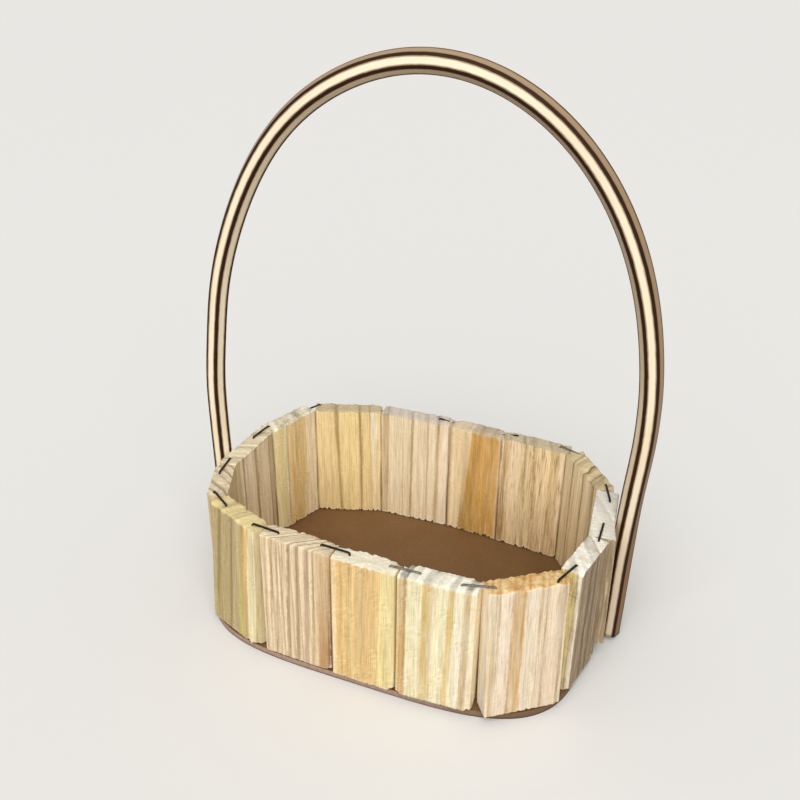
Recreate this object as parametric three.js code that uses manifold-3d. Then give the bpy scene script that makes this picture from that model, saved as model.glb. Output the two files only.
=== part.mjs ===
import * as THREE from 'three';
import { mergeVertices } from 'three/addons/utils/BufferGeometryUtils.js';
import Module from 'manifold-3d';

// A small handmade basket: upright pine slats set in a long ring on an oval hardboard base,
// stapled to one another across their tops, with a bent hexagonal rod glued on as a handle.
// Millimetres, +Z up. The origin is on the ground under the middle of the ring, +X along its length.

const clearance = 0.3; // air between pieces that touch

// Slats
const slatWidth = 25; // the common width that the lath was cut to
const slatThickness = 7.5;
const slatHeight = 50;
const slatArris = 0.4; // rounding of the four long edges
const slatEndEase = 0.3; // wear round the sawn ends
const firstHeading = -26; // degrees from +X, the way the first slat runs

// Base plate
const baseThickness = 2.5;
const baseEndInset = 2.7; // how far the end slats overhang the plate
const baseSideInset = 1.1; // how far the front and back slats overhang it
const baseTurn = -2.8; // degrees that the plate lies askew under the ring
const baseSquareness = 3.8; // power of the oval: 2 is an ellipse, more is squarer
const baseEdgeEase = 0.25;

// Staples, of flat wire
const stapleWidth = 11.3; // overall, across both legs
const stapleLeg = 8; // length of a leg below the crown
const stapleWire = 0.7; // seen along the legs' faces
const stapleDepth = 0.55; // the wire's other side
const stapleBend = 0.9; // outer radius of the two corners
const stapleTip = 1.1; // length of the chisel point

// Handle, a hexagonal rod bent to an uneven arch
const handleAcross = 7.6; // over two opposite arrises
const handleArris = 1.1; // width of each blunted arris
const handleHeight = 203.3; // ground to the top of the arch
const handleFootLift = 2; // ground to the cut ends
const handleSplay = 0.9; // how far a leg leans out up to its springing
const rightSpringing = 97.5; // height where the right leg starts to bend
const leftSpringing = 77.5;
const crownShift = 3; // the arch's top lies this far to the right
const rightSeatOffset = -0.6; // glue line from the middle of the right slat
const leftSeatOffset = 3.6; // glue line from the middle of the left slat

// How finely the round forms are divided
const arrisSteps = 2;
const baseSteps = 96;
const bendSteps = 4;
const handleSteps = 96;

const woodTones = { straw: 0xe2cf98, honey: 0xdfbf85, cream: 0xead9b4, pink: 0xdcc29c };
const hardboardTone = 0x7a5836;
const stapleTone = 0x2b2a2c;
const rodTone = 0xe6d3ab;

// The slats in order, anticlockwise from the front left. Turn is the bend, in degrees, at the joint after
// the slat. Slant is how far that joint's staple was set askew, and shift how far past the joint's middle.
// Wider and proud are what a slat has over the common width and height. A slat with no wider is cut to close
// the ring, and the last turn closes it too. Lean, in degrees, is how far a slat's foot stands out.
const cutList = [
  { name: 'front_slat_1', wider: 0, turn: 21, slant: 4, shift: 1.2, proud: 0, lean: 2.2, tone: 'straw' },
  { name: 'front_slat_2', wider: 1.5, turn: 1, slant: -4, shift: 0.4, proud: 0.5, tone: 'pink' },
  { name: 'front_slat_3', wider: -2, turn: 4, slant: 3, shift: 1.9, proud: -0.2, tone: 'honey' },
  { name: 'front_slat_4', wider: 1, turn: 33, slant: -1, shift: -1.4, proud: 0, tone: 'cream' },
  { name: 'front_slat_5', wider: 1, turn: 42, slant: 10, shift: -0.6, proud: -0.2, lean: 2.6, tone: 'pink' },
  { name: 'right_end_slat_1', wider: -4, turn: 18, slant: 2, shift: 3, proud: 0.5, tone: 'straw' },
  { name: 'right_end_slat_2', wider: 3.5, turn: 32, slant: 0, shift: -2.4, proud: 0.3, tone: 'pink' },
  { name: 'right_end_slat_3', wider: 0.5, turn: 47, slant: 8, shift: 0, proud: 0.5, tone: 'honey' },
  { name: 'back_slat_1', wider: 1.5, turn: 1, slant: 6, shift: 0, proud: 0.2, tone: 'cream' },
  { name: 'back_slat_2', wider: -2.3, turn: 6, slant: 6, shift: 0.5, proud: -0.2, tone: 'honey' },
  { name: 'back_slat_3', wider: 5, turn: 18, slant: 0, shift: 0, proud: 0, tone: 'pink' },
  { name: 'back_slat_4', turn: 52, slant: 7, shift: 1.4, proud: 0.2, tone: 'straw' },
  { name: 'left_end_slat_1', wider: -1, turn: 17, slant: 1, shift: 2.5, proud: 0.2, tone: 'straw' },
  { name: 'left_end_slat_2', wider: 2, turn: 24, slant: 2, shift: 1.5, proud: 0, tone: 'pink' },
  { name: 'left_end_slat_3', slant: 8, shift: 2.4, proud: -0.2, tone: 'cream' },
];
const rightSeatSlat = 'right_end_slat_2';
const leftSeatSlat = 'left_end_slat_2';

const wasm = await Module();
wasm.setup();

function solidOf(geometry) {
  const bare = geometry.clone();
  bare.deleteAttribute('normal');
  bare.deleteAttribute('uv');
  const merged = mergeVertices(bare);
  const vertProperties = merged.attributes.position.array;
  const triVerts = new Uint32Array(merged.index.array);
  return new wasm.Manifold(new wasm.Mesh({ numProp: 3, vertProperties, triVerts }));
}

function geometryOf(solid) {
  const mesh = solid.getMesh();
  const geometry = new THREE.BufferGeometry();
  geometry.setAttribute('position', new THREE.BufferAttribute(mesh.vertProperties, mesh.numProp));
  geometry.setIndex(new THREE.BufferAttribute(mesh.triVerts, 1));
  const faceted = geometry.toNonIndexed();
  faceted.computeVertexNormals();
  return faceted;
}

function namedMesh(name, geometry, color, roughness, metalness) {
  const mesh = new THREE.Mesh(geometry, new THREE.MeshStandardMaterial({ color, roughness, metalness }));
  mesh.name = name;
  return mesh;
}

function wayAt(angle) {
  return new THREE.Vector2(Math.cos(angle), Math.sin(angle));
}

// Ring: each slat runs along its heading with the inside on its left, and the inner corners of
// neighbours lie a clearance apart, so every bend opens as a wedge towards the outside.
function layOutRing() {
  const slats = cutList.map((row) => ({ ...row }));
  const fullTurn = 360;
  let heading = firstHeading;
  for (const slat of slats) {
    slat.heading = THREE.MathUtils.degToRad(heading);
    slat.turn ??= fullTurn + firstHeading - heading;
    slat.lean = THREE.MathUtils.degToRad(slat.lean ?? 0);
    slat.cutToFit = slat.wider === undefined;
    slat.width = slat.cutToFit ? 0 : slatWidth + slat.wider;
    slat.jointHeading = slat.heading + THREE.MathUtils.degToRad(slat.turn) / 2;
    slat.way = wayAt(slat.heading);
    slat.jointStep = wayAt(slat.jointHeading).multiplyScalar(clearance);
    heading += slat.turn;
  }
  cutToClose(slats);
  const corner = new THREE.Vector2();
  for (const slat of slats) {
    slat.start = corner.clone();
    corner.addScaledVector(slat.way, slat.width).add(slat.jointStep);
  }
  return centreRing(slats);
}

// The two slats that are cut to fit take up what the others leave open.
function cutToClose(slats) {
  const open = new THREE.Vector2();
  for (const slat of slats) {
    open.addScaledVector(slat.way, slat.width).add(slat.jointStep);
  }
  open.negate();
  const [first, second] = slats.filter((slat) => slat.cutToFit);
  const spread = first.way.cross(second.way);
  first.width = open.cross(second.way) / spread;
  second.width = first.way.cross(open) / spread;
}

function outwardOf(slat) {
  return new THREE.Vector2(slat.way.y, -slat.way.x);
}

function outerFacePoint(slat, along) {
  return slat.start.clone().addScaledVector(slat.way, along).addScaledVector(outwardOf(slat), slatThickness);
}

function centreRing(slats) {
  const extent = new THREE.Box2();
  for (const slat of slats) {
    extent.expandByPoint(outerFacePoint(slat, 0));
    extent.expandByPoint(outerFacePoint(slat, slat.width));
  }
  const middle = extent.getCenter(new THREE.Vector2());
  for (const slat of slats) {
    slat.start.sub(middle);
  }
  return { slats, size: extent.getSize(new THREE.Vector2()) };
}

const ring = layOutRing();
const slatFoot = baseThickness + clearance;

// A leaning slat stands on the inner edge of its foot, and the outer edge of its top rises.
function slatTop(slat) {
  return slatFoot + slatHeight + slat.proud + slatThickness * Math.sin(slat.lean);
}

// Base plate: a squarish oval with lightly eased edges, just inside the feet of the slats.
function makeBasePlate() {
  const halfLength = ring.size.x / 2 - baseEndInset;
  const halfWidth = ring.size.y / 2 - baseSideInset;
  const power = 2 / baseSquareness;
  const outline = [];
  for (let step = 0; step < baseSteps; step += 1) {
    const way = wayAt((2 * Math.PI * step) / baseSteps);
    const x = Math.sign(way.x) * halfLength * Math.abs(way.x) ** power;
    const y = Math.sign(way.y) * halfWidth * Math.abs(way.y) ** power;
    outline.push(new THREE.Vector2(x, y));
  }
  const geometry = new THREE.ExtrudeGeometry(new THREE.Shape(outline), {
    depth: baseThickness - 2 * baseEdgeEase,
    bevelSize: baseEdgeEase,
    bevelOffset: -baseEdgeEase,
    bevelThickness: baseEdgeEase,
    bevelSegments: 1,
  });
  const mesh = namedMesh('base_plate', geometry, hardboardTone, 0.8, 0);
  mesh.position.z = baseEdgeEase;
  mesh.rotation.z = THREE.MathUtils.degToRad(baseTurn);
  return mesh;
}

// Staples: one across each joint, its crown a clearance above the taller of the two slats.
function stapleLegReach() {
  return (stapleWidth - stapleWire) / 2;
}

function placeStaple(index) {
  const slat = ring.slats[index];
  const next = ring.slats[(index + 1) % ring.slats.length];
  const inner = slat.start.clone().addScaledVector(slat.way, slat.width);
  const middle = inner.clone().addScaledVector(outwardOf(slat), slatThickness / 2);
  const nextMiddle = next.start.clone().addScaledVector(outwardOf(next), slatThickness / 2);
  const heading = slat.jointHeading + THREE.MathUtils.degToRad(slat.slant);
  return {
    centre: middle.lerp(nextMiddle, 0.5).addScaledVector(wayAt(heading), slat.shift),
    heading,
    crownFoot: Math.max(slatTop(slat), slatTop(next)) + clearance,
  };
}

function stapleOutline() {
  const half = stapleWidth / 2;
  const inner = half - stapleWire;
  const innerBend = Math.max(stapleBend - stapleWire, stapleWire / 4);
  const bendHeight = stapleWire - stapleBend;
  const shape = new THREE.Shape();
  shape.moveTo(half, -stapleLeg + stapleTip);
  shape.absarc(half - stapleBend, bendHeight, stapleBend, 0, Math.PI / 2);
  shape.absarc(stapleBend - half, bendHeight, stapleBend, Math.PI / 2, Math.PI);
  shape.lineTo(-half, -stapleLeg + stapleTip);
  shape.lineTo(-inner, -stapleLeg);
  shape.absarc(innerBend - inner, -innerBend, innerBend, Math.PI, Math.PI / 2, true);
  shape.absarc(inner - innerBend, -innerBend, innerBend, Math.PI / 2, 0, true);
  shape.lineTo(inner, -stapleLeg);
  return shape;
}

function makeStaple(index) {
  const place = placeStaple(index);
  const geometry = new THREE.ExtrudeGeometry(stapleOutline(), {
    depth: stapleDepth,
    bevelEnabled: false,
    curveSegments: bendSteps,
  });
  geometry.translate(0, 0, -stapleDepth / 2);
  geometry.rotateX(Math.PI / 2);
  const number = String(index + 1).padStart(2, '0');
  const mesh = namedMesh(`staple_${number}`, geometry, stapleTone, 0.45, 0.9);
  mesh.position.set(place.centre.x, place.centre.y, place.crownFoot);
  mesh.rotation.z = place.heading;
  return mesh;
}

// Slats: a rounded rectangle in plan, raised to its height, with a slit for each staple leg.
function slatOutline(width) {
  const shape = new THREE.Shape();
  const near = slatArris;
  const far = width - slatArris;
  shape.absarc(far, -slatThickness + near, slatArris, -Math.PI / 2, 0);
  shape.absarc(far, -near, slatArris, 0, Math.PI / 2);
  shape.absarc(near, -near, slatArris, Math.PI / 2, Math.PI);
  shape.absarc(near, -slatThickness + near, slatArris, Math.PI, 1.5 * Math.PI);
  return shape;
}

function legSlit(slat, place, side) {
  const leg = place.centre.clone().addScaledVector(wayAt(place.heading), side * stapleLegReach());
  const offset = leg.sub(slat.start).rotateAround(new THREE.Vector2(), -slat.heading);
  const bottom = place.crownFoot - stapleLeg - clearance;
  const height = slatTop(slat) + clearance - bottom;
  const slit = new THREE.BoxGeometry(stapleWire + 2 * clearance, stapleDepth + 2 * clearance, height);
  slit.rotateZ(place.heading - slat.heading);
  slit.translate(offset.x, offset.y, bottom + height / 2 - slatFoot);
  return solidOf(slit);
}

function makeSlat(slat, index) {
  const before = (index + ring.slats.length - 1) % ring.slats.length;
  const geometry = new THREE.ExtrudeGeometry(slatOutline(slat.width), {
    depth: slatHeight + slat.proud - 2 * slatEndEase,
    bevelSize: slatEndEase,
    bevelOffset: -slatEndEase,
    bevelThickness: slatEndEase,
    bevelSegments: 1,
    curveSegments: arrisSteps,
  });
  geometry.translate(0, 0, slatEndEase - slatHeight);
  geometry.rotateX(-slat.lean);
  geometry.translate(0, 0, slatHeight);
  const startSlit = legSlit(slat, placeStaple(before), 1);
  const endSlit = legSlit(slat, placeStaple(index), -1);
  const wood = solidOf(geometry).subtract(startSlit).subtract(endSlit);
  const mesh = namedMesh(slat.name, geometryOf(wood), woodTones[slat.tone], 0.75, 0);
  mesh.position.set(slat.start.x, slat.start.y, slatFoot);
  mesh.rotation.z = slat.heading;
  return mesh;
}

// Handle: the hexagonal section keeps an arris towards the basket and a flat towards the front.
class HoopCurve extends THREE.Curve {
  constructor(outline) {
    super();
    this.outline = outline;
  }

  getPoint(t) {
    const point = this.outline.getPoint(t);
    return new THREE.Vector3(point.x, 0, point.y);
  }
}

function hexagonSection() {
  const sides = 6;
  const points = [];
  for (let side = 0; side < sides; side += 1) {
    const angle = (2 * Math.PI * side) / sides;
    const arris = new THREE.Vector2(handleArris / 2, handleAcross / 2);
    const twin = new THREE.Vector2(-handleArris / 2, handleAcross / 2);
    points.push(arris.rotateAround(new THREE.Vector2(), angle));
    points.push(twin.rotateAround(new THREE.Vector2(), angle));
  }
  return new THREE.Shape(points);
}

function hoopOutline(footReach) {
  const springReach = footReach + handleSplay;
  const crown = handleHeight - handleAcross / 2;
  const quarter = Math.PI / 2;
  const rightSpan = springReach - crownShift;
  const leftSpan = springReach + crownShift;
  const path = new THREE.Path();
  path.moveTo(footReach, handleFootLift);
  path.lineTo(springReach, rightSpringing);
  path.absellipse(crownShift, rightSpringing, rightSpan, crown - rightSpringing, 0, quarter);
  path.absellipse(crownShift, leftSpringing, leftSpan, crown - leftSpringing, quarter, Math.PI);
  path.lineTo(-footReach, handleFootLift);
  return path;
}

function glueLine(name, offset) {
  const slat = ring.slats.find((row) => row.name === name);
  return outerFacePoint(slat, slat.width / 2 + offset);
}

function makeHandle() {
  const right = glueLine(rightSeatSlat, rightSeatOffset);
  const left = glueLine(leftSeatSlat, leftSeatOffset);
  const footReach = right.distanceTo(left) / 2 + clearance + handleAcross / 2;
  const geometry = new THREE.ExtrudeGeometry(hexagonSection(), {
    steps: handleSteps,
    extrudePath: new HoopCurve(hoopOutline(footReach)),
  });
  const mesh = namedMesh('handle', geometry, rodTone, 0.6, 0);
  const seat = new THREE.Group();
  seat.position.set((right.x + left.x) / 2, (right.y + left.y) / 2, 0);
  seat.rotation.z = right.sub(left).angle();
  seat.add(mesh);
  return seat;
}

const basket = new THREE.Group();
basket.name = 'oval_basket';
basket.add(makeBasePlate());
ring.slats.forEach((slat, index) => {
  basket.add(makeSlat(slat, index));
  basket.add(makeStaple(index));
});
basket.add(makeHandle());

export default basket;
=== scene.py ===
import math

import bmesh
import bpy
from mathutils import Matrix, Vector, noise


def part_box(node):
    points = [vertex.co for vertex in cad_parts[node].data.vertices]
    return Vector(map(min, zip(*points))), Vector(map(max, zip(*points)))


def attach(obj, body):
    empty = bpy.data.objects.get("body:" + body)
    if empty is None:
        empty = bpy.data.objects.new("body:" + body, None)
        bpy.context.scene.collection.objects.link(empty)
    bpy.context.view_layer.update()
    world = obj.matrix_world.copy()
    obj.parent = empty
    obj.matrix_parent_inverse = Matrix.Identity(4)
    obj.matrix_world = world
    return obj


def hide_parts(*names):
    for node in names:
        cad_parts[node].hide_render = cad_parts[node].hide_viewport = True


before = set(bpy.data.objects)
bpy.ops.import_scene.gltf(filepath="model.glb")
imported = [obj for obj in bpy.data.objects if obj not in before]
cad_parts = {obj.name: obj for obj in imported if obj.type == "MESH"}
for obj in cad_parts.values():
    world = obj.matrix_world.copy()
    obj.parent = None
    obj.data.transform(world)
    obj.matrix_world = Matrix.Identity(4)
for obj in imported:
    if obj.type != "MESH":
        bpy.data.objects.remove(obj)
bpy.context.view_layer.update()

mm = 0.001
print("frame loaded,", len(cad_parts), "nodes")


def paint(red, green, blue):  # 0 to 255 as it should look, to linear colour
    def linear(value):
        share = value / 255
        return share / 12.92 if share <= 0.04045 else ((share + 0.055) / 1.055) ** 2.4
    return linear(red), linear(green), linear(blue), 1.0


def ease(low, high, value):  # 0 below low, 1 above high, smooth between
    share = min(max((value - low) / (high - low), 0.0), 1.0)
    return share * share * (3 - 2 * share)


def ripple(x, y, z):  # smooth noise, about -1 to 1
    return noise.noise(Vector((x, y, z)))


def ofKind(items, kind):
    return [item for item in items if isinstance(item, kind)]


def roundOff(bm, geom, radius, segments, affect="EDGES"):
    bmesh.ops.bevel(bm, geom=geom, offset=radius, affect=affect, segments=segments, profile=0.5, material=-1)


class Finish:  # a material and short ways to wire its nodes
    def __init__(self, name):
        self.material = bpy.data.materials.new(name)
        self.material.use_nodes = True
        self.tree = self.material.node_tree
        self.shader = self.tree.nodes["Principled BSDF"]

    def feed(self, socket, value):
        if isinstance(value, bpy.types.NodeSocket):
            self.tree.links.new(value, socket)
        else:
            socket.default_value = value

    def add(self, kind, inputs, **settings):
        node = self.tree.nodes.new("ShaderNode" + kind)
        for key, value in settings.items():
            setattr(node, key, value)
        for key, value in inputs.items():
            self.feed(node.inputs[key], value)
        return node

    def objectSpot(self):
        return self.add("TexCoord", {}).outputs["Object"]

    def millimetreSpot(self):
        return self.stretch(self.objectSpot(), (1 / mm, 1 / mm, 1 / mm))

    def readAttribute(self, name):
        return self.add("Attribute", {}, attribute_name=name).outputs["Fac"]

    def sums(self, operation, *values):
        node = self.add("Math", dict(enumerate(values)), operation=operation)
        return node.outputs[0]

    def times(self, first, second):
        return self.sums("MULTIPLY", first, second)

    def stretch(self, vector, factors):
        return self.add("VectorMath", {0: vector, 1: factors}, operation="MULTIPLY").outputs[0]

    def cloud(self, vector, scale, detail=2.0, rough=0.5):
        inputs = {"Vector": vector, "Scale": scale, "Detail": detail, "Roughness": rough}
        return self.add("TexNoise", inputs).outputs[0]

    def longCloud(self, vector, factors, detail, rough=0.5):  # noise drawn out along the grain
        return self.cloud(self.stretch(vector, factors), 1.0, detail, rough)

    def wander(self, value, field, reach):  # shift a value to and fro by a noise
        return self.sums("MULTIPLY_ADD", self.sums("SUBTRACT", field, 0.5), reach, value)

    def remap(self, value, low, high, toLow, toHigh, smooth=True):
        inputs = {0: value, 1: low, 2: high, 3: toLow, 4: toHigh}
        kind = "SMOOTHSTEP" if smooth else "LINEAR"
        return self.add("MapRange", inputs, interpolation_type=kind).outputs[0]

    def mix(self, share, first, second, blend="MIX"):
        inputs = {0: share, 6: first, 7: second}
        node = self.add("Mix", inputs, data_type="RGBA", blend_type=blend)
        return node.outputs[2]

    def curve(self, value, stops):  # a float ramp
        node = self.add("ValToRGB", {0: value})
        ramp = node.color_ramp
        ramp.interpolation = "EASE"
        while len(ramp.elements) < len(stops):
            ramp.elements.new(0.5)
        for element, (position, level) in zip(ramp.elements, stops):
            element.position = position
            element.color = (level, level, level, 1)
        return node.outputs[0]

    def shade(self, colour, level):  # multiply a colour by a value
        grey = self.add("CombineColor", {0: level, 1: level, 2: level}).outputs[0]
        return self.mix(1.0, colour, grey, "MULTIPLY")

    def surface(self, colour, roughness, specular=0.5):
        inputs = self.shader.inputs
        self.feed(inputs["Base Color"], colour)
        self.feed(inputs["Roughness"], roughness)
        inputs["Specular IOR Level"].default_value = specular

    def bump(self, height, strength, distance):
        inputs = {"Strength": strength, "Distance": distance, "Height": height}
        self.feed(self.shader.inputs["Normal"], self.add("Bump", inputs).outputs[0])


def finishPiece(bm, name, node, finish, smooth=True):
    mesh = bpy.data.meshes.new(name)
    bm.to_mesh(mesh)
    bm.free()
    mesh.materials.append(finish)
    for face in mesh.polygons:
        face.use_smooth = smooth
    piece = bpy.data.objects.new(name, mesh)
    bpy.context.scene.collection.objects.link(piece)
    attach(piece, "root")
    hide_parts(node)


# Pine slats, in millimetres and degrees, with colours as they look in plain light, except where painted light
# or shade is noted.
# wood and dark: tones of the faces. end: pale and dark tones of the sawn top and foot.
# spacing, lean, sway and rings: width, slope, waviness and strength of the year rings.
# ridges and relief: width and depth of the ridges along the grain. flecks: short dark and pale dashes.
# marks: saw marks. patchy: how unevenly streaks show. endMark and mottle: streaks and blotches on the ends.
# fits: growth of the two ends. flare: how far the outer face stands out at top and foot, and over what width.
# glued and leanOut: growth of the outer face towards the rod, all over and at the top.
# topChips and footChips: x, y, radius and depth of what has broken off.
# bands, streaks of other wood: place, width, tone, strength at the top and the foot, slant over the height.
slatShape = {
    "grid": 0.45, "outerArris": 0.7, "innerArris": 0.14, "rimArris": 0.2, "fit": 0.26, "endDepth": 8.0,
    "topRough": 0.22, "topWear": 0.75, "fray": 2.7, "outerFray": 0.3, "settle": 0.08, "fuzz": 0.03,
    "ridges": 2.1, "steepest": 60, "pithAway": 80, "seedStep": 11.3}
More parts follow.
